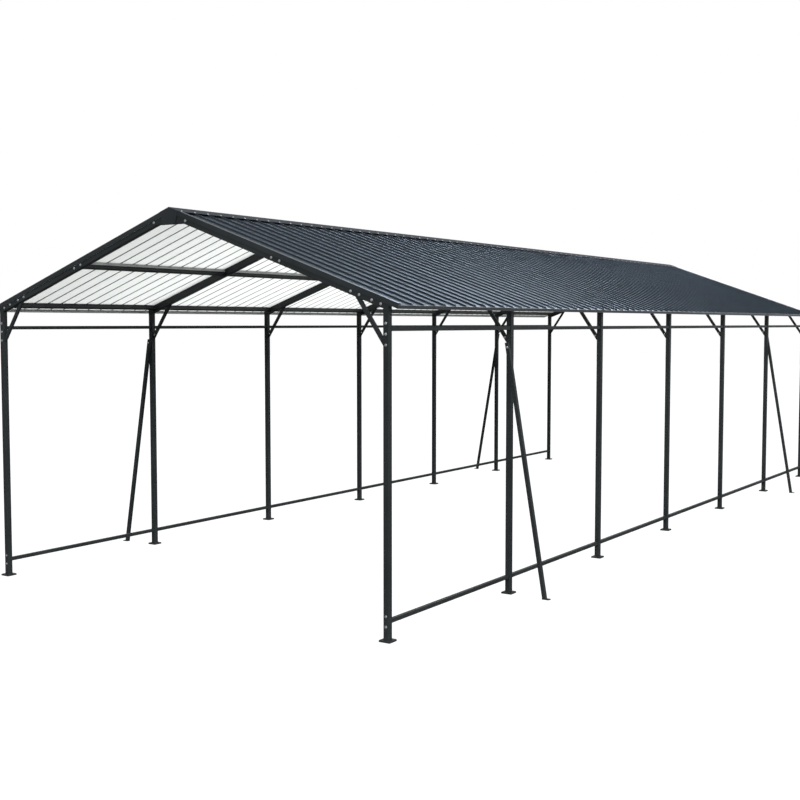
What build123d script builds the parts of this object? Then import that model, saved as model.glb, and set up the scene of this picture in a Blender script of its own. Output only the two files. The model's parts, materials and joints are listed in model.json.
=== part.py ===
# Steel carport: seven portal frames on base plates, ribbed gable roof, open sides and ends.
# Millimetres. X runs across the carport, Y along the ridge, Z up. The origin is at floor
# level in the middle of the plan.

import math
import os

from build123d import *

# Main frame
FrameCount = 7
FrameSpacing = 2020.0
WidthOverPosts = 4590.0
PostSize = 50.0
PostCorner = 2.0

# Base plates and their anchor holes
BasePlateSide = 106.0
BasePlateThickness = 16.0
BasePlateBevel = 4.0
AnchorSpacing = 78.0
AnchorHoleRadius = 5.5

# Roof lines. The roof line is the nominal slope of the roof. A drop is measured square to
# the slope, down from that line, and is negative above it.
RoofLinePeak = 3500.0
RoofAngle = 19.73
RafterTopDrop = 4.0
RafterDepth = 70.0
EaveOverhang = 95.0
HalfGap = 0.3

# Knee braces between post and rafter
BraceWidth = 33.0
BraceDepth = 24.0
BraceAngle = 55.5
BraceFootBelowPostTop = 273.0

# Apex plates bolted to both faces of each pair of rafters
ApexPlateThickness = 3.0
ApexBoltReach = 187.0
ApexBoltDrop = 45.0
ApexTongueRadius = 28.0
ApexPlateHang = 55.4

# Side rails
RailSize = 34.0
RailCorner = 2.0
UpperRailBelowPostTop = 158.0
BottomRailHeight = 159.5

# Purlins between the rafters
MidPurlinReach = 1178.5
MidPurlinDepth = 30.0
PurlinWidth = 40.0
SeatStripDepth = 28.0
EavePurlinInset = 80.5
EavePurlinDepth = 44.0

# Ribbed roof sheets
SheetThickness = 1.0
RibsPerBay = 12
RibsPerPanel = 6
RibHeight = 14.0
RibBaseWidth = 24.0
RibTopWidth = 8.0
SheetRidgeGap = 12.0
PanelGap = 0.4

# Trims and ridge cap
TrimThickness = 1.5
VergeLeg = 30.0
VergeFlange = 42.0
TrimStandoff = 3.0
SheetEdgeClearance = 1.5
EaveFlange = 15.0
EaveLeg = 29.0
RidgeCapReach = 135.0
RidgeCapThickness = 1.0
EndPlateThickness = 3.0
EndPlateTopHalfWidth = 108.0
EndPlateBottomHalfWidth = 70.0

# Outward stays on the second frame from each end
StaySize = 36.0
StayTopBelowPostTop = 291.0
StayTopInset = 6.0
StayFootSpread = 393.0
StayFootPlateThickness = 6.0
StayFootPlateWidth = 50.0
StayFootInnerMargin = 22.0
StayFootOuterMargin = 52.0
StayAnchorInset = 18.0

# Values worked out from the sizes above
Slope = math.tan(math.radians(RoofAngle))
SlopeCos = math.cos(math.radians(RoofAngle))
HalfWidth = WidthOverPosts / 2
PostInner = HalfWidth - PostSize
PostCentre = HalfWidth - PostSize / 2
HalfFrames = FrameSpacing * (FrameCount - 1) / 2
FrameEnd = HalfFrames + PostSize / 2
TrimFace = FrameEnd + ApexPlateThickness + TrimStandoff + TrimThickness
EaveReach = HalfWidth + EaveOverhang
EavePurlinReach = HalfWidth - EavePurlinInset
StayTopReach = PostCentre - StayTopInset
StayFootReach = PostCentre + StayFootSpread
RafterBottomDrop = RafterTopDrop + RafterDepth
PanDrop = RafterTopDrop - SheetThickness
RibTopDrop = PanDrop - RibHeight
SheetEnd = TrimFace - TrimThickness - SheetEdgeClearance
RibPitch = FrameSpacing / RibsPerBay
RibCount = RibsPerBay * (FrameCount - 1) + 1
BayClear = FrameSpacing - PostSize
PostTop = RoofLinePeak - Slope * PostInner - RafterBottomDrop / SlopeCos
BraceFootHeight = PostTop - BraceFootBelowPostTop
UpperRailHeight = PostTop - UpperRailBelowPostTop
StayTopHeight = PostTop - StayTopBelowPostTop
ApexPlateBottom = RoofLinePeak - RafterBottomDrop / SlopeCos - ApexPlateHang

# Slope plane of the right side: local X runs down the slope, local Y towards the front
# end, and local Z stands square off the roof line.
Sloped = Plane(origin=(0, 0, RoofLinePeak), x_dir=(SlopeCos, 0, -Slope * SlopeCos),
               z_dir=(Slope * SlopeCos, 0, SlopeCos))


def frame_y(index):
    return -HalfFrames + FrameSpacing * index


def bay_y(index):
    return frame_y(index) + FrameSpacing / 2


def roof_z(reach, drop):
    return RoofLinePeak - Slope * reach - drop / SlopeCos


def slope_run(reach, drop):
    # Distance down the slope plane to a point at this reach and drop.
    return (reach + drop * Slope * SlopeCos) / SlopeCos


def prism(points, y_low, y_high):
    # Outline in the X-Z plane, drawn out from one Y to another.
    face = make_face(Polyline(*[(x, 0, z) for x, z in points], close=True))
    return extrude(face, amount=y_high - y_low, dir=(0, 1, 0)).moved(Location((0, y_low, 0)))


def block(x_low, x_high, y_low, y_high, z_low, z_high):
    centre = ((x_low + x_high) / 2, (y_low + y_high) / 2, (z_low + z_high) / 2)
    return Pos(*centre) * Box(x_high - x_low, y_high - y_low, z_high - z_low)


def tube_along_y(width, depth, corner, length):
    return extrude(Plane.XZ * RectangleRounded(width, depth, corner), amount=length / 2, both=True)


def mirrored(shape):
    return mirror(shape, about=Plane.YZ)


def solids_of(shapes):
    found = []
    for shape in shapes:
        found.extend(shape.solids())
    return Compound(children=found)


def save(name, shapes):
    export_step(solids_of(shapes), "parts/" + name + ".step")


def save_both_sides(name, shapes):
    save(name + "_right", shapes)
    save(name + "_left", [mirrored(shape) for shape in shapes])


# Posts, cut to the slope under the rafters
def post(y):
    outline = Pos(PostCentre, y, BasePlateThickness) * RectangleRounded(PostSize, PostSize, PostCorner)
    tube = extrude(outline, amount=RoofLinePeak - BasePlateThickness)
    above = prism([(PostInner - 10, roof_z(PostInner - 10, RafterBottomDrop)),
                   (HalfWidth + 10, roof_z(HalfWidth + 10, RafterBottomDrop)),
                   (HalfWidth + 10, RoofLinePeak + 100),
                   (PostInner - 10, RoofLinePeak + 100)], y - PostSize, y + PostSize)
    return tube - above


# Square base plates with four anchor holes
def base_plate(y):
    plate = extrude(Pos(PostCentre, y, 0) * Rectangle(BasePlateSide, BasePlateSide),
                    amount=BasePlateThickness)
    plate = chamfer(plate.edges().filter_by(Axis.Z), BasePlateBevel)
    plate = chamfer(plate.faces().sort_by(Axis.Z)[-1].edges(), BasePlateBevel)
    holes = Pos(PostCentre, y, 0) * GridLocations(AnchorSpacing, AnchorSpacing, 2, 2) * Cylinder(
        AnchorHoleRadius, 4 * BasePlateThickness)
    return plate - holes


# Rafter of one slope, mitred at the apex and cut upright at the post's outer face
def rafter(y):
    points = [(HalfGap, roof_z(HalfGap, RafterTopDrop)),
              (HalfWidth, roof_z(HalfWidth, RafterTopDrop)),
              (HalfWidth, roof_z(HalfWidth, RafterBottomDrop)),
              (HalfGap, roof_z(HalfGap, RafterBottomDrop))]
    bar = prism(points, y - PostSize / 2, y + PostSize / 2)
    long_edges = [edge for edge in bar.edges() if edge.length > HalfWidth]
    return fillet(long_edges, PostCorner)


# Knee brace, cut to the post's inner face and to the rafter's underside
def knee_brace(y):
    reach = 700.0
    bar = Box(2 * reach, BraceDepth, BraceWidth)
    bar = fillet(bar.edges().filter_by(Axis.X), RailCorner)
    bar = Pos(PostInner, y, BraceFootHeight) * Rot(0, BraceAngle, 0) * bar
    keep = prism([(PostInner, BraceFootHeight - reach),
                  (PostInner, roof_z(PostInner, RafterBottomDrop)),
                  (PostInner - reach, roof_z(PostInner - reach, RafterBottomDrop)),
                  (PostInner - reach, BraceFootHeight - reach)], y - BraceDepth, y + BraceDepth)
    return bar & keep


# Apex plate: a flat-bottomed haunch with a round-ended tongue down each rafter
def apex_plate(y_low):
    centre_x = ApexBoltReach
    centre_z = roof_z(ApexBoltReach, ApexBoltDrop)
    top_drop = ApexBoltDrop - ApexTongueRadius
    low_drop = ApexBoltDrop + ApexTongueRadius
    lean_x = ApexTongueRadius * Slope * SlopeCos
    lean_z = ApexTongueRadius * SlopeCos
    tongue = [(0, roof_z(0, top_drop)), (centre_x + lean_x, centre_z + lean_z),
              (centre_x - lean_x, centre_z - lean_z), (0, roof_z(0, low_drop))]
    flat_reach = (RoofLinePeak - low_drop / SlopeCos - ApexPlateBottom) / Slope
    haunch = [(0, roof_z(0, top_drop)), (flat_reach, roof_z(flat_reach, low_drop)), (0, ApexPlateBottom)]
    half = prism(tongue, 0, ApexPlateThickness) + prism(haunch, 0, ApexPlateThickness)
    end = Pos(centre_x, ApexPlateThickness / 2, centre_z) * Rot(90, 0, 0) * Cylinder(
        ApexTongueRadius, ApexPlateThickness)
    half = half + end
    whole = half + mirrored(half)
    return whole.moved(Location((0, y_low, 0)))


# Rails between neighbouring posts
def side_rail(index, height):
    return Pos(PostCentre, bay_y(index), height) * tube_along_y(RailSize, RailSize, RailCorner, BayClear)


# Purlins between neighbouring rafters, square to the slope
def purlin(index, reach, top_drop, depth, corner=RailCorner):
    middle = top_drop + depth / 2
    place = Location(Sloped) * Pos(slope_run(reach, middle), bay_y(index), -middle)
    return place * tube_along_y(PurlinWidth, depth, corner, BayClear)


# Roof panels: one trapezoidal profile along Y, drawn out down the slope
def profile_points(y_start, y_end, ribs, lift):
    flank = math.atan2(RibHeight, (RibBaseWidth - RibTopWidth) / 2)
    spread = lift * math.tan(flank / 2)
    points = [(y_start, lift)]
    for rib in ribs:
        points.append((rib - RibBaseWidth / 2 - spread, lift))
        points.append((rib - RibTopWidth / 2 - spread, lift + RibHeight - SheetThickness))
        points.append((rib + RibTopWidth / 2 + spread, lift + RibHeight - SheetThickness))
        points.append((rib + RibBaseWidth / 2 + spread, lift))
    points.append((y_end, lift))
    return points


def roof_panel(y_start, y_end, ribs):
    under = profile_points(y_start, y_end, ribs, 0)
    upper = profile_points(y_start, y_end, ribs, SheetThickness)
    run_start = slope_run(SheetRidgeGap, RafterTopDrop)
    run_end = slope_run(EaveReach, RibTopDrop)
    outline = [(run_start, y, z - RafterTopDrop) for y, z in under + upper[::-1]]
    face = make_face(Polyline(*outline, close=True))
    return Location(Sloped) * extrude(face, amount=run_end - run_start, dir=(1, 0, 0))


def roof_panels():
    rib_lines = [-HalfFrames + RibPitch * rib for rib in range(RibCount)]
    foot = RibBaseWidth / 2 + 1
    panels = []
    for first in range(0, RibCount, RibsPerPanel):
        ribs = rib_lines[first:first + RibsPerPanel]
        last_panel = first + RibsPerPanel >= RibCount - 1
        if last_panel:
            ribs = rib_lines[first:]
        y_start = -SheetEnd if first == 0 else ribs[0] - foot
        y_end = SheetEnd if last_panel else ribs[-1] + RibPitch - foot - PanelGap
        panels.append(roof_panel(y_start, y_end, ribs))
        if last_panel:
            break
    return panels


# Verge trim: an angle with its flange on the end rib and its leg over the rafter
def verge_trim():
    inner = TrimFace - VergeFlange
    over = TrimThickness - RibTopDrop
    outline = [(TrimFace, over), (TrimFace, -VergeLeg), (TrimFace - TrimThickness, -VergeLeg),
               (TrimFace - TrimThickness, -RibTopDrop), (inner, -RibTopDrop), (inner, over)]
    run_start = -20.0
    run_end = slope_run(EaveReach, VergeLeg) + 40
    face = make_face(Polyline(*[(run_start, y, z) for y, z in outline], close=True))
    bar = Location(Sloped) * extrude(face, amount=run_end - run_start, dir=(1, 0, 0))
    return bar & block(HalfGap, EaveReach, 0, 2 * TrimFace, 0, 2 * RoofLinePeak)


def front_and_back(shape):
    return [shape, mirror(shape, about=Plane.XZ)]


# Eave trim: a drip angle whose flange is tucked under the sheet's lower edge
def eave_trim():
    over = RafterTopDrop
    under = RafterTopDrop + TrimThickness
    inner = EaveReach - EaveFlange
    leg_inner = EaveReach - TrimThickness
    leg_bottom = roof_z(EaveReach, EaveLeg)
    points = [(inner, roof_z(inner, over)), (EaveReach, roof_z(EaveReach, over)),
              (EaveReach, leg_bottom), (leg_inner, leg_bottom),
              (leg_inner, roof_z(leg_inner, under)), (inner, roof_z(inner, under))]
    half_length = TrimFace - TrimThickness - HalfGap
    return prism(points, -half_length, half_length)


# Ridge cap: a bent sheet that lies on the verge trims, just clear of the ribs
def ridge_cap():
    under = RibTopDrop - TrimThickness
    over = under - RidgeCapThickness
    points = [(0, roof_z(0, over)), (RidgeCapReach, roof_z(RidgeCapReach, over)),
              (RidgeCapReach, roof_z(RidgeCapReach, under)), (0, roof_z(0, under)),
              (-RidgeCapReach, roof_z(RidgeCapReach, under)),
              (-RidgeCapReach, roof_z(RidgeCapReach, over))]
    return prism(points, -TrimFace, TrimFace)


# End plates that close the ridge cap over the meeting of the verge trims
def end_plate(y_low):
    top_drop = RibTopDrop - TrimThickness - RidgeCapThickness
    points = [(0, roof_z(0, top_drop)), (EndPlateTopHalfWidth, roof_z(EndPlateTopHalfWidth, top_drop)),
              (EndPlateBottomHalfWidth, ApexPlateBottom), (-EndPlateBottomHalfWidth, ApexPlateBottom),
              (-EndPlateTopHalfWidth, roof_z(EndPlateTopHalfWidth, top_drop))]
    return prism(points, y_low, y_low + EndPlateThickness)


# Stay: a leaning tube beside the post, on a foot plate with one anchor hole
def stay(y):
    lean = math.atan2(StayFootReach - StayTopReach, StayTopHeight)
    length = math.hypot(StayFootReach - StayTopReach, StayTopHeight)
    bar = Box(StaySize, StaySize, length + 2 * StaySize)
    bar = fillet(bar.edges().filter_by(Axis.Z), RailCorner)
    middle = ((StayFootReach + StayTopReach) / 2, y, StayTopHeight / 2)
    bar = Pos(*middle) * Rot(0, -math.degrees(lean), 0) * bar
    span = block(0, 2 * StayFootReach, y - PostSize, y + PostSize, StayFootPlateThickness, StayTopHeight)
    return bar & span


def stay_foot(y):
    half = StayFootPlateWidth / 2
    inner = StayFootReach - StayFootInnerMargin
    outer = StayFootReach + StayFootOuterMargin
    plate = block(inner, outer, y - half, y + half, 0, StayFootPlateThickness)
    plate = chamfer(plate.edges().filter_by(Axis.Z), 6)
    hole = Pos(outer - StayAnchorInset, y, 0) * Cylinder(
        AnchorHoleRadius, 4 * StayFootPlateThickness)
    return plate - hole


def build():
    os.makedirs("parts", exist_ok=True)
    frames = range(FrameCount)
    bays = range(FrameCount - 1)

    for index in frames:
        save_both_sides("post_" + str(index + 1), [post(frame_y(index))])
        one_side = rafter(frame_y(index))
        save("rafters_" + str(index + 1), [one_side, mirrored(one_side)])
    save_both_sides("base_plates", [base_plate(frame_y(index)) for index in frames])
    save_both_sides("knee_braces", [knee_brace(frame_y(index)) for index in frames])

    front_faces = [frame_y(index) - PostSize / 2 - ApexPlateThickness for index in frames]
    back_faces = [frame_y(index) + PostSize / 2 for index in frames]
    save("apex_plates", [apex_plate(y) for y in front_faces + back_faces])

    save_both_sides("upper_rails", [side_rail(index, UpperRailHeight) for index in bays])
    save_both_sides("bottom_rails", [side_rail(index, BottomRailHeight) for index in bays])

    seat_bottom = RafterTopDrop + SeatStripDepth
    save_both_sides("mid_purlins",
                    [purlin(index, MidPurlinReach, seat_bottom, MidPurlinDepth) for index in bays])
    save_both_sides("purlin_seat_strips",
                    [purlin(index, MidPurlinReach, RafterTopDrop, SeatStripDepth, 1) for index in bays])
    save_both_sides("eave_purlins",
                    [purlin(index, EavePurlinReach, RafterTopDrop, EavePurlinDepth) for index in bays])

    save_both_sides("roof_sheets", roof_panels())
    save("ridge_cap", [ridge_cap()])
    save_both_sides("verge_trims", front_and_back(verge_trim()))
    save_both_sides("eave_trim", [eave_trim()])
    save("ridge_end_plates", [end_plate(-TrimFace - EndPlateThickness), end_plate(TrimFace)])

    stay_line = frame_y(1) - PostSize / 2 - StaySize / 2
    save_both_sides("stays", front_and_back(stay(stay_line)))
    save_both_sides("stay_feet", front_and_back(stay_foot(stay_line)))


build()
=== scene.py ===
import json
import math

import bmesh
import bpy
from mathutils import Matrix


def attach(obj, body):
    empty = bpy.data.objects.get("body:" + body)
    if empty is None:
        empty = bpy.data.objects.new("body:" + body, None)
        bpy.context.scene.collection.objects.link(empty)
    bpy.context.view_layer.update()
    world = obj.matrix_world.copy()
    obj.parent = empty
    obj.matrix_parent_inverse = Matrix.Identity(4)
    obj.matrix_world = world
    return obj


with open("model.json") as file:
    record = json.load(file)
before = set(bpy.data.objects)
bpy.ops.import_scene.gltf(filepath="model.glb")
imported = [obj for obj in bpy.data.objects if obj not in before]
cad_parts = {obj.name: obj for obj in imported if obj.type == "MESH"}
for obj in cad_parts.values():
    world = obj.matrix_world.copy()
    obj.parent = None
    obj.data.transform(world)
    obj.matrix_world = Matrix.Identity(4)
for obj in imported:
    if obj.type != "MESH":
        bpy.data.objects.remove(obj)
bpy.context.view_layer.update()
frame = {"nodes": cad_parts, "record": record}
nodes = frame["nodes"]
print("carport frame loaded:", len(nodes), "pieces")

# Lengths are in metres. Shared by the bolts, the screws, the panel laps and the painted shade along
# the ribs
building = {
    "frameCount": 7,
    "frameSpacing": 2.02,
    "postCentre": 2.27,
    "postHalf": 0.025,
    "roofPeak": 3.5,
    "roofAngle": math.radians(19.73),
    "ribsPerBay": 12,
    "capReach": 0.135,
    "capTopDrop": -0.0135,      # the cap's top stands above the roof line
}
ribPitch = building["frameSpacing"] / building["ribsPerBay"]
slope = math.tan(building["roofAngle"])
slopeCos = math.cos(building["roofAngle"])
slopeSin = math.sin(building["roofAngle"])
frameLines = [building["frameSpacing"] * (i - (building["frameCount"] - 1) / 2)
              for i in range(building["frameCount"])]
roofLength = frameLines[-1] - frameLines[0]


def roofZ(reach, drop):
    # Height at a reach from the middle, a drop under the roof line and square to it
    return building["roofPeak"] - slope * abs(reach) - drop / slopeCos


# Node building

class Sock:
    # Wraps one output socket or number, so maths on it reads as a plain expression
    def __init__(self, tree, value):
        self.tree = tree
        self.value = value

    def math(self, operation, *others):
        return self.tree.node("ShaderNodeMath", {"operation": operation}, self, *others)

    def __add__(self, other):
        return self.math("ADD", other)

    def __radd__(self, other):
        return Sock(self.tree, other).math("ADD", self)

    def __sub__(self, other):
        return self.math("SUBTRACT", other)

    def __rsub__(self, other):
        return Sock(self.tree, other).math("SUBTRACT", self)

    def __mul__(self, other):
        return self.math("MULTIPLY", other)

    def __rmul__(self, other):
        return Sock(self.tree, other).math("MULTIPLY", self)

    def __lt__(self, other):
        return self.math("LESS_THAN", other)


class NodeTree:
    # Builds the nodes of a finish, of the sky or of a Geometry Nodes tree
    def __init__(self, tree):
        self.nodes = tree.nodes
        self.links = tree.links
        self.nodes.clear()

    def feed(self, socket, value):
        if isinstance(value, Sock):
            value = value.value
        if isinstance(value, list):     # several links into one socket
            for part in value:
                self.feed(socket, part)
        elif isinstance(value, bpy.types.NodeSocket):
            self.links.new(value, socket)
        elif socket.type == "RGBA":
            socket.default_value = (*value, 1)
        else:
            socket.default_value = value

    def node(self, kind, settings=None, *values, output=0, **named):
        # values go to the sockets in their order, named ones have _ for a space
        made = self.nodes.new(kind)
        for key, value in (settings or {}).items():
            setattr(made, key, value)
        for socket, value in zip(made.inputs, values):
            if value is not None:
                self.feed(socket, value)
        for key, value in named.items():
            self.feed(made.inputs[key.replace("_", " ")], value)
        return Sock(self, made.outputs[output])

    def end(self, kind, value):
        self.feed(self.nodes.new(kind).inputs[0], value)

    def along(self, vector, axis):
        return self.node("ShaderNodeSeparateXYZ", None, vector, output=axis)

    def ramp(self, value, low, high, start=0.0, end=1.0):
        return self.node("ShaderNodeMapRange", {"clamp": True}, value, low, high, start, end)

    def mix(self, factor, first, second):
        # The two colour sockets come after five that a mix of colours leaves unused
        return self.node("ShaderNodeMix", {"data_type": "RGBA"},
                         factor, *[None] * 5, first, second, output=2)


class Finish(NodeTree):
    def __init__(self, name):
        self.material = bpy.data.materials.new(name)
        self.material.use_nodes = True
        super().__init__(self.material.node_tree)

    def spot(self):
        return self.node("ShaderNodeTexCoord", output="Object")

    def normal(self):
        return self.node("ShaderNodeNewGeometry", output="Normal")

    def place(self, stretch=(1, 1, 1)):
        return self.node("ShaderNodeMapping", None, self.spot(), Scale=stretch)

    def noise(self, scale, detail, stretch=(1, 1, 1)):
        return self.node("ShaderNodeTexNoise", None,
                         Vector=self.place(stretch), Scale=scale, Detail=detail)

    def bump(self, height, depth, strength):
        return self.node("ShaderNodeBump", None, Height=height, Distance=depth, Strength=strength)

    def done(self, **sockets):
        surface = self.node("ShaderNodeBsdfPrincipled", None, **sockets)
        self.end("ShaderNodeOutputMaterial", surface)
        return self.material


frameFinish = {
    "dark": (0.0185, 0.0218, 0.0228),
    "light": (0.0275, 0.0316, 0.0328),
    "drift": {"scale": 2.2, "detail": 4.0},
    "driftRange": (0.3, 0.7),
    "scuff": {"scale": 38.0, "detail": 5.0, "stretch": (1, 1, 0.35)},
    "scuffRange": (0.42, 0.72),
    "scuffRoughness": 0.16,
    "dust": (0.060, 0.060, 0.057),
    "dustHeight": 0.30,
    "dustAmount": 0.35,
    "dustRoughness": 0.3,
    "roughness": 0.44,
    "gloss": 0.16,
    "peel": {"scale": 240.0, "detail": 2.0},
    "peelDepth": 0.00012,
    "peelStrength": 0.6,
}


def frameCoat():
    # Satin powder coat: fine orange peel, slow colour drift, a little dust near the floor
    made = Finish("frameCoat")
    drift = made.noise(**frameFinish["drift"])
    peel = made.noise(**frameFinish["peel"])
    scuff = made.noise(**frameFinish["scuff"])
    low = 1 - made.ramp(made.along(made.spot(), "Z"), 0.0, frameFinish["dustHeight"])
    dusty = low * made.ramp(scuff, *frameFinish["scuffRange"]) * frameFinish["dustAmount"]
    colour = made.mix(made.ramp(drift, *frameFinish["driftRange"]),
                      frameFinish["dark"], frameFinish["light"])
    colour = made.mix(dusty, colour, frameFinish["dust"])
    rough = (frameFinish["roughness"] + (scuff - 0.5) * frameFinish["scuffRoughness"]
             + dusty * frameFinish["dustRoughness"])
    return made.done(Base_Color=colour, Roughness=rough, Metallic=0.0,
                     Specular_IOR_Level=frameFinish["gloss"],
                     Normal=made.bump(peel, frameFinish["peelDepth"], frameFinish["peelStrength"]))


roofFinish = {
    "dark": (0.0050, 0.0078, 0.0122),
    "light": (0.0076, 0.0115, 0.0176),
    "drift": {"scale": 1.3, "detail": 5.0, "stretch": (0.4, 1, 0.4)},
    "driftRange": (0.32, 0.68),
    "under": (0.90, 0.92, 0.90),
    "underShade": (0.86, 0.88, 0.86),
    "underRoughness": 0.35,     # added to the top's roughness
    "streak": {"scale": 16.0, "detail": 4.0, "stretch": (0.08, 1, 0.08)},
    "streakRange": (0.35, 0.7),
    "streakRoughness": 0.08,
    # Painted shade on the underside: this grey fills a band along each rib's hollow; the band's
    # half width and its fade follow
    "hollowShade": (0.34, 0.35, 0.345),
    "hollowShadeHalf": 0.012,
    "hollowShadeFade": 0.003,
    "roughness": 0.54,
    "gloss": 0.40,
    "glossTint": (0.72, 0.86, 1.0),
    "grain": {"scale": 420.0, "detail": 2.0},
    "grainDepth": 0.00004,
    "grainStrength": 0.3,
}


def roofCoat():
    # Coil-coated sheet: anthracite outside, off-white primer on the underside, with painted
    # shade darkening the underside along the hollow of each rib
    made = Finish("roofCoat")
    drift = made.noise(**roofFinish["drift"])
    streak = made.noise(**roofFinish["streak"])
    grain = made.noise(**roofFinish["grain"])
    below = made.along(made.normal(), "Z") < 0.0
    # Painted shade mask: 1 along each rib's hollow, fading to 0 on the flat between the ribs
    shift = 50 * ribPitch       # whole ribs, so that no distance is negative
    across = (made.along(made.spot(), "Y") + shift).math("PINGPONG", ribPitch / 2)
    edge = roofFinish["hollowShadeHalf"]
    hollowShade = 1 - made.ramp(across, edge, edge + roofFinish["hollowShadeFade"])
    outer = made.mix(made.ramp(drift, *roofFinish["driftRange"]),
                     roofFinish["dark"], roofFinish["light"])
    inner = made.mix(made.ramp(streak, *roofFinish["streakRange"]),
                     roofFinish["under"], roofFinish["underShade"])
    # Paints the shade of the rib hollows into the underside's colour
    inner = made.mix(hollowShade, inner, roofFinish["hollowShade"])
    rough = (roofFinish["roughness"] + (streak - 0.5) * roofFinish["streakRoughness"]
             + below * roofFinish["underRoughness"])
    return made.done(Base_Color=made.mix(below, outer, inner), Roughness=rough, Metallic=0.0,
                     Specular_IOR_Level=roofFinish["gloss"],
                     Specular_Tint=roofFinish["glossTint"],
                     Normal=made.bump(grain, roofFinish["grainDepth"], roofFinish["grainStrength"]))


trimFinish = {
    "dark": (0.0190, 0.0228, 0.0246),
    "light": (0.0275, 0.0325, 0.0348),
    "drift": {"scale": 3.1, "detail": 4.0, "stretch": (1, 0.3, 1)},
    "driftRange": (0.3, 0.7),
    "driftRoughness": 0.14,
    "back": (0.60, 0.62, 0.61),
    "roughness": 0.36,
    "gloss": 0.28,
    "grain": {"scale": 380.0, "detail": 2.0},
    "grainDepth": 0.00008,
    "grainStrength": 0.5,
}


def trimCoat():
    # Folded flashing close to the frame's colour, but smoother. Its back is pale: the faces
    # that look in towards the middle of the building
    made = Finish("trimCoat")
    level = made.node("ShaderNodeVectorMath", {"operation": "MULTIPLY"}, made.normal(), (1, 1, 0))
    outward = made.node("ShaderNodeVectorMath", {"operation": "DOT_PRODUCT"},
                        made.spot(), level, output="Value")
    drift = made.noise(**trimFinish["drift"])
    grain = made.noise(**trimFinish["grain"])
    colour = made.mix(made.ramp(drift, *trimFinish["driftRange"]),
                      trimFinish["dark"], trimFinish["light"])
    colour = made.mix(outward < 0.0, colour, trimFinish["back"])
    rough = trimFinish["roughness"] + (drift - 0.5) * trimFinish["driftRoughness"]
    return made.done(Base_Color=colour, Roughness=rough, Metallic=0.0,
                     Specular_IOR_Level=trimFinish["gloss"],
                     Normal=made.bump(grain, trimFinish["grainDepth"], trimFinish["grainStrength"]))


stripFinish = {
    "dull": (0.26, 0.265, 0.26),
    "bright": (0.40, 0.405, 0.40),
    "crystalScale": 60.0,
    "crystalShare": 0.6,
    "drift": {"scale": 9.0, "detail": 4.0},
    "driftShare": 0.7,
    "patchRange": (0.3, 0.8),
    "patchRoughness": 0.15,
    "roughness": 0.45,
    "metal": 0.35,
}


def galvanised():
    # Zinc-coated strip with soft crystal patches
    made = Finish("galvanised")
    crystals = made.node("ShaderNodeTexVoronoi", {"feature": "F1"}, output="Distance",
                         Vector=made.place(), Scale=stripFinish["crystalScale"])
    drift = made.noise(**stripFinish["drift"])
    patch = made.ramp(crystals * stripFinish["crystalShare"] + drift * stripFinish["driftShare"],
                      *stripFinish["patchRange"])
    return made.done(Base_Color=made.mix(patch, stripFinish["dull"], stripFinish["bright"]),
                     Roughness=stripFinish["roughness"] + patch * stripFinish["patchRoughness"],
                     Metallic=stripFinish["metal"])


boltFinish = {
    "dull": (0.42, 0.43, 0.44),
    "bright": (0.62, 0.63, 0.64),
    "wear": {"scale": 90.0, "detail": 4.0},
    "wearRange": (0.35, 0.65),
    "wearRoughness": 0.2,
    "wearDepth": 0.00005,
    "wearStrength": 0.4,
    "roughness": 0.32,
    "metal": 0.75,
}


def zincPlate():
    # Bright zinc on bolt heads and their washers
    made = Finish("zincPlate")
    wear = made.noise(**boltFinish["wear"])
    colour = made.mix(made.ramp(wear, *boltFinish["wearRange"]),
                      boltFinish["dull"], boltFinish["bright"])
    rough = boltFinish["roughness"] + (wear - 0.5) * boltFinish["wearRoughness"]
    return made.done(Base_Color=colour, Roughness=rough, Metallic=boltFinish["metal"],
                     Normal=made.bump(wear, boltFinish["wearDepth"], boltFinish["wearStrength"]))


screwFinish = {
    "dull": (0.36, 0.38, 0.40),
    "bright": (0.52, 0.54, 0.56),
    "wear": {"scale": 120.0, "detail": 3.0},
    "wearRange": (0.35, 0.65),
    "wearRoughness": 0.2,
    "roughness": 0.45,
}


def paleWasher():
    # Matt pale heads and washers of the ridge screws
    made = Finish("paleWasher")
    wear = made.noise(**screwFinish["wear"])
    colour = made.mix(made.ramp(wear, *screwFinish["wearRange"]),
                      screwFinish["dull"], screwFinish["bright"])
    rough = screwFinish["roughness"] + (wear - 0.5) * screwFinish["wearRoughness"]
    return made.done(Base_Color=colour, Roughness=rough, Metallic=0.0)


floorFinish = {
    "tone": (0.12, 0.12, 0.12),
    "shade": (0.11, 0.11, 0.11),
    "drift": {"scale": 0.6, "detail": 3.0},
    "driftRange": (0.3, 0.7),
    "roughness": 0.9,
    "glow": 1.0,
}


def floorPaint():
    # Reads as plain white, yet throws little light up under the roof
    made = Finish("floorPaint")
    drift = made.noise(**floorFinish["drift"])
    seen = made.node("ShaderNodeLightPath", output="Is Camera Ray")
    colour = made.mix(made.ramp(drift, *floorFinish["driftRange"]),
                      floorFinish["tone"], floorFinish["shade"])
    return made.done(Base_Color=colour, Roughness=floorFinish["roughness"],
                     Specular_IOR_Level=0.0, Emission_Strength=floorFinish["glow"],
                     Emission_Color=made.mix(seen, (0, 0, 0), (1, 1, 1)))


coats = {
    "frame_coat": frameCoat(),
    "roof_coat": roofCoat(),
    "trim_coat": trimCoat(),
    "galvanised": galvanised(),
}
zinc = zincPlate()

for row in frame["record"]["subparts"]:
    piece = nodes[row["node"]]
    piece.data.materials.clear()
    piece.data.materials.append(coats[row["material_slot"]])
print("finishes on the frame, sheets and trims")


# Bolts and screws, placed by Geometry Nodes

fastenerShape = {
    "washerSides": 16,
    "headSides": 6,
    "sizeNames": ("Head Radius", "Head Height", "Washer Radius", "Washer Height"),
}


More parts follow.
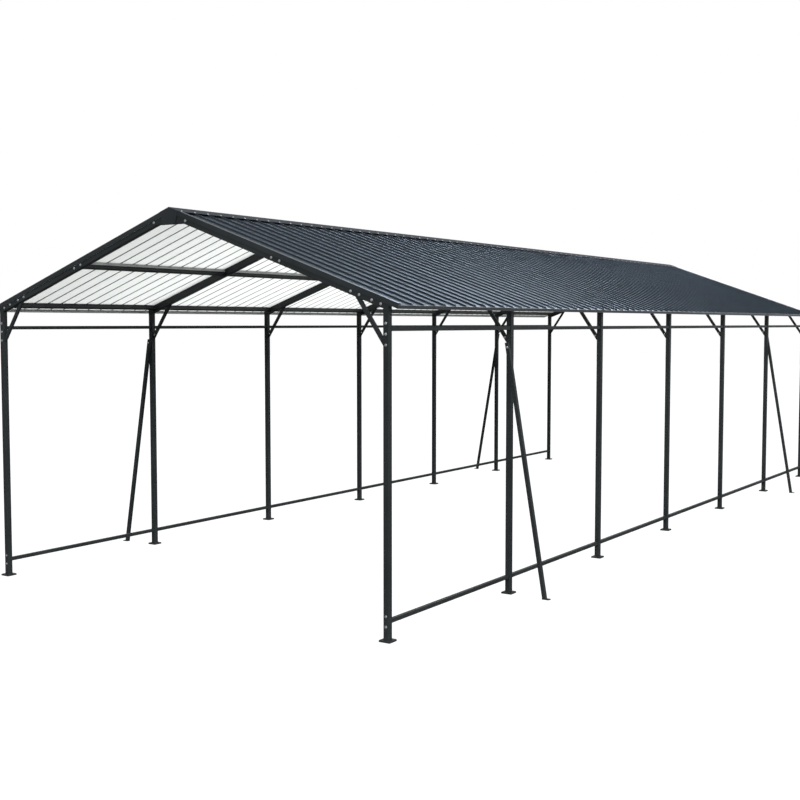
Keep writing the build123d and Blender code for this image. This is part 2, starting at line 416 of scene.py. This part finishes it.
def fastenerTree(name, coat):
    # A washer and a head on every point, turned to face along the point's own vector
    group = bpy.data.node_groups.new(name, "GeometryNodeTree")
    sockets = group.interface
    sockets.new_socket("Points", in_out="INPUT", socket_type="NodeSocketGeometry")
    for title in fastenerShape["sizeNames"]:
        sockets.new_socket(title, in_out="INPUT", socket_type="NodeSocketFloat")
    sockets.new_socket("Fasteners", in_out="OUTPUT", socket_type="NodeSocketGeometry")
    tree = NodeTree(group)
    size = {title: tree.node("NodeGroupInput", output=title)
            for title in fastenerShape["sizeNames"]}

    def drum(sides, radius, height, base):
        body = tree.node("GeometryNodeMeshCylinder", None, output="Mesh",
                         Vertices=sides, Radius=radius, Depth=height)
        centre = tree.node("ShaderNodeCombineXYZ", None, Z=height * 0.5 + base)
        return tree.node("GeometryNodeTransform", None, Geometry=body, Translation=centre)

    washer = drum(fastenerShape["washerSides"], size["Washer Radius"], size["Washer Height"], 0.0)
    head = drum(fastenerShape["headSides"], size["Head Radius"], size["Head Height"],
                size["Washer Height"])
    both = tree.node("GeometryNodeJoinGeometry", None, [head, washer])
    facing = tree.node("GeometryNodeInputNamedAttribute", {"data_type": "FLOAT_VECTOR"},
                       output="Attribute", Name="facing")
    turn = tree.node("FunctionNodeAlignRotationToVector", {"axis": "Z"}, Vector=facing)
    spread = tree.node("GeometryNodeInstanceOnPoints", None, Rotation=turn, Instance=both,
                       Points=tree.node("NodeGroupInput", output="Points"))
    real = tree.node("GeometryNodeRealizeInstances", None, spread)
    tree.end("NodeGroupOutput",
             tree.node("GeometryNodeSetMaterial", None, Geometry=real, Material=coat))
    return group


def fasteners(name, places, sizes, coat):
    # places are (point, facing) pairs
    mesh = bpy.data.meshes.new(name + "Points")
    mesh.from_pydata([point for point, facing in places], [], [])
    field = mesh.attributes.new("facing", "FLOAT_VECTOR", "POINT")
    for entry, (point, facing) in zip(field.data, places):
        entry.vector = facing
    holder = bpy.data.objects.new(name + "Holder", mesh)
    bpy.context.collection.objects.link(holder)
    modifier = holder.modifiers.new("fasteners", "NODES")
    modifier.node_group = fastenerTree(name + "Tree", coat)
    for item in modifier.node_group.interface.items_tree:
        if item.name in sizes:
            modifier[item.identifier] = sizes[item.name]
    shown = holder.evaluated_get(bpy.context.evaluated_depsgraph_get())
    made = bpy.data.objects.new(name, bpy.data.meshes.new_from_object(shown))
    bpy.context.collection.objects.link(made)
    bpy.data.objects.remove(holder)
    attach(made, "root")


frameBolts = {
    "reaches": (1.136, 1.221, 1.936, 2.019, 2.138, 2.223),      # on the rafters, from the middle
    "drop": 0.047,
    "postHeights": (2.502, 2.418, 2.333, 0.202, 0.120),
    "apexReach": 0.187,
    "apexDrop": 0.045,
    "plateThickness": 0.003,
    "sizes": {"Head Radius": 0.0085, "Head Height": 0.0055,
              "Washer Radius": 0.0115, "Washer Height": 0.0018},
}


def frameBoltPlaces(line, way):
    # All the bolts on one face of one frame
    face = line + way * building["postHalf"]
    facing = (0, way, 0)
    places = []
    for side in (-1, 1):
        for reach in frameBolts["reaches"]:
            places.append(((side * reach, face, roofZ(reach, frameBolts["drop"])), facing))
        for height in frameBolts["postHeights"]:
            places.append(((side * building["postCentre"], face, height), facing))
        apex = (side * frameBolts["apexReach"], face + way * frameBolts["plateThickness"],
                roofZ(frameBolts["apexReach"], frameBolts["apexDrop"]))
        places.append((apex, facing))
    return places


outerFaces = [(frameLines[0], -1), (frameLines[-1], 1)]
allFaces = [(line, way) for line in frameLines for way in (-1, 1)]
endBolts = [place for face in outerFaces for place in frameBoltPlaces(*face)]
coatedBolts = [place for face in allFaces if face not in outerFaces
               for place in frameBoltPlaces(*face)]
fasteners("endFrameBolts", endBolts, frameBolts["sizes"], zinc)
fasteners("coatedBolts", coatedBolts, frameBolts["sizes"], coats["frame_coat"])

braceBolts = {
    "reach": 2.221,
    "height": 2.374,
    "half": 0.012,      # of the brace's thickness
    "sizes": {"Head Radius": 0.008, "Head Height": 0.005,
              "Washer Radius": 0.0105, "Washer Height": 0.0015},
}


def braceBoltPlaces():
    return [((side * braceBolts["reach"], line + way * braceBolts["half"], braceBolts["height"]),
             (0, way, 0)) for line in frameLines[1:-1] for side in (-1, 1) for way in (-1, 1)]


fasteners("braceBolts", braceBoltPlaces(), braceBolts["sizes"], zinc)

stayBolts = {
    "reach": 2.271,
    "height": 2.284,
    "tubeDepth": 0.036,
    "sizes": {"Head Radius": 0.0085, "Head Height": 0.0055,
              "Washer Radius": 0.0115, "Washer Height": 0.0018},
}


def stayBoltPlaces():
    face = -frameLines[1] + building["postHalf"] + stayBolts["tubeDepth"]
    return [((side * stayBolts["reach"], way * face, stayBolts["height"]), (0, way, 0))
            for side in (-1, 1) for way in (-1, 1)]


fasteners("stayBolts", stayBoltPlaces(), stayBolts["sizes"], zinc)

ridgeScrews = {
    "edgeInset": 0.016,
    "sizes": {"Head Radius": 0.0065, "Head Height": 0.0045,
              "Washer Radius": 0.0095, "Washer Height": 0.0015},
}


def ridgeScrewPlaces():
    # One on each rib, on both edges of the cap
    ribs = int(round(roofLength / ribPitch)) + 1
    reach = building["capReach"] - ridgeScrews["edgeInset"]
    places = []
    for rib in range(ribs):
        y = frameLines[0] + rib * ribPitch
        for side in (-1, 1):
            point = (side * reach, y, roofZ(reach, building["capTopDrop"]))
            places.append((point, (side * slopeSin, 0, slopeCos)))
    return places


fasteners("ridgeScrews", ridgeScrewPlaces(), ridgeScrews["sizes"], paleWasher())
print("bolts and screws placed")

panelLaps = {
    "ribsPerPanel": 6,
    "jointBeforeRib": 0.0132,
    "back": 0.007,              # reach of the lap on this side of the joint
    "forward": 0.001,           # and on the far side
    "panDrop": 0.003,           # the flat of a panel lies this far under the roof line
    "lift": 0.0001,             # the lap's own height over that flat
    "thickness": 0.0005,
    "ridgeReach": 0.02,
    "eaveReach": 2.383,
}


def layPanelLaps():
    # The edge of each roof panel laps over its neighbour and hides the joint between them
    low = panelLaps["panDrop"] - panelLaps["lift"]
    high = low - panelLaps["thickness"]
    width = panelLaps["ribsPerPanel"] * ribPitch
    joints = int(round(roofLength / width)) - 1
    boxSides = ((0, 1, 3, 2), (4, 5, 7, 6), (0, 1, 5, 4), (2, 3, 7, 6), (0, 2, 6, 4), (1, 3, 7, 5))
    shape = bmesh.new()
    for joint in range(1, joints + 1):
        y = frameLines[0] + joint * width - panelLaps["jointBeforeRib"]
        for side in (-1, 1):
            corners = [shape.verts.new((side * reach, y + shift, roofZ(reach, drop)))
                       for reach in (panelLaps["ridgeReach"], panelLaps["eaveReach"])
                       for shift in (-panelLaps["back"], panelLaps["forward"])
                       for drop in (low, high)]
            for boxSide in boxSides:
                shape.faces.new([corners[i] for i in boxSide])
    bmesh.ops.recalc_face_normals(shape, faces=shape.faces)
    mesh = bpy.data.meshes.new("panelLaps")
    shape.to_mesh(mesh)
    shape.free()
    mesh.materials.append(coats["roof_coat"])
    laps = bpy.data.objects.new("panelLaps", mesh)
    bpy.context.collection.objects.link(laps)
    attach(laps, "root")
    return laps


laps = layPanelLaps()
print("panel laps laid")


# Floor, light and camera

studio = {
    "floorHalf": 60.0,
    "skyTint": (0.93, 0.965, 1.0),
    "frontLevel": 0.22,         # of the sky, up to a heading of frontFrom on Y
    "frontFrom": -0.75,
    "frontTo": 0.10,
    "backLevel": 0.68,          # of the sky, from frontTo on
    "keyAngle": (math.radians(72), 0.0, math.radians(82)),
    "keyStrength": 1.8,
    "keySoftness": math.radians(30),
    "frontAngle": (math.radians(68), 0.0, math.radians(12)),
    "frontStrength": 2.1,
    "frontSoftness": math.radians(30),
    "rimAngle": (math.radians(68), 0.0, math.radians(198)),
    "rimStrength": 0.92,
    "rimTint": (0.66, 0.81, 1.0),
    "rimSoftness": math.radians(14),
    "fillSize": (5.2, 12.4),
    "fillHeight": 0.06,
    "fillPower": 430.0,
    "roofNodes": ("roof_sheets_right", "roof_sheets_left",
                  "verge_trims_right", "verge_trims_left"),
}


def layFloor():
    half = studio["floorHalf"]
    mesh = bpy.data.meshes.new("floor")
    mesh.from_pydata([(-half, -half, 0), (half, -half, 0), (half, half, 0), (-half, half, 0)],
                     [], [(0, 1, 2, 3)])
    floor = bpy.data.objects.new("floor", mesh)
    mesh.materials.append(floorPaint())
    bpy.context.collection.objects.link(floor)


def underFill():
    # A wide soft panel just over the floor, which shines up on the underside of the roof
    panel = bpy.data.lights.new("underFill", "AREA")
    panel.shape = "RECTANGLE"
    panel.size, panel.size_y = studio["fillSize"]
    panel.energy = studio["fillPower"]
    lamp = bpy.data.objects.new("underFill", panel)
    lamp.location = (0, 0, studio["fillHeight"])
    lamp.rotation_euler = (math.pi, 0.0, 0.0)
    lamp.visible_camera = False
    lamp.visible_glossy = False
    bpy.context.collection.objects.link(lamp)
    return lamp


def distantLight(name):
    light = bpy.data.lights.new(name, "SUN")
    light.energy = studio[name + "Strength"]
    light.angle = studio[name + "Softness"]
    lamp = bpy.data.objects.new(name, light)
    lamp.rotation_euler = studio[name + "Angle"]
    bpy.context.collection.objects.link(lamp)
    return lamp


def studioSky():
    # White all round to the eye, while its own light is weaker from the front, the -Y side
    world = bpy.data.worlds.new("studioSky")
    world.use_nodes = True
    sky = NodeTree(world.node_tree)
    seen = sky.node("ShaderNodeLightPath", output="Is Camera Ray")
    heading = sky.along(sky.node("ShaderNodeTexCoord", output="Generated"), "Y")
    level = sky.ramp(heading, studio["frontFrom"], studio["frontTo"],
                     studio["frontLevel"], studio["backLevel"])
    sky.end("ShaderNodeOutputWorld",
            sky.node("ShaderNodeBackground", None, Strength=level.math("MAXIMUM", seen),
                     Color=sky.mix(seen, studio["skyTint"], (1, 1, 1))))
    bpy.context.scene.world = world


def lightStudio():
    # Key and front light reach everything, the rim light and the fill only the roof's
    # sheets, verge trims and laps
    distantLight("key")
    distantLight("front")
    sheets = bpy.data.collections.new("sheets")
    for name in studio["roofNodes"]:
        sheets.objects.link(nodes[name])
    sheets.objects.link(laps)
    rim = distantLight("rim")
    rim.data.color = studio["rimTint"]
    for lamp in (rim, underFill()):
        lamp.light_linking.receiver_collection = sheets
    bpy.context.scene.view_settings.view_transform = "Standard"


photoCamera = {
    "place": (7.4148, -13.743, 2.4994),
    "turn": (math.radians(86.331), 0.0, math.radians(33.209)),
    "lens": 53.604,             # millimetres, as the sensor
    "sensor": 36.0,
    "farthest": 200.0,
}


def setCamera():
    data = bpy.data.cameras.new("photoCamera")
    data.lens = photoCamera["lens"]
    data.sensor_width = photoCamera["sensor"]
    data.clip_end = photoCamera["farthest"]
    camera = bpy.data.objects.new("photoCamera", data)
    camera.location = photoCamera["place"]
    camera.rotation_euler = photoCamera["turn"]
    bpy.context.collection.objects.link(camera)
    bpy.context.scene.camera = camera


layFloor()
studioSky()
lightStudio()
setCamera()
print("floor, light and camera set")
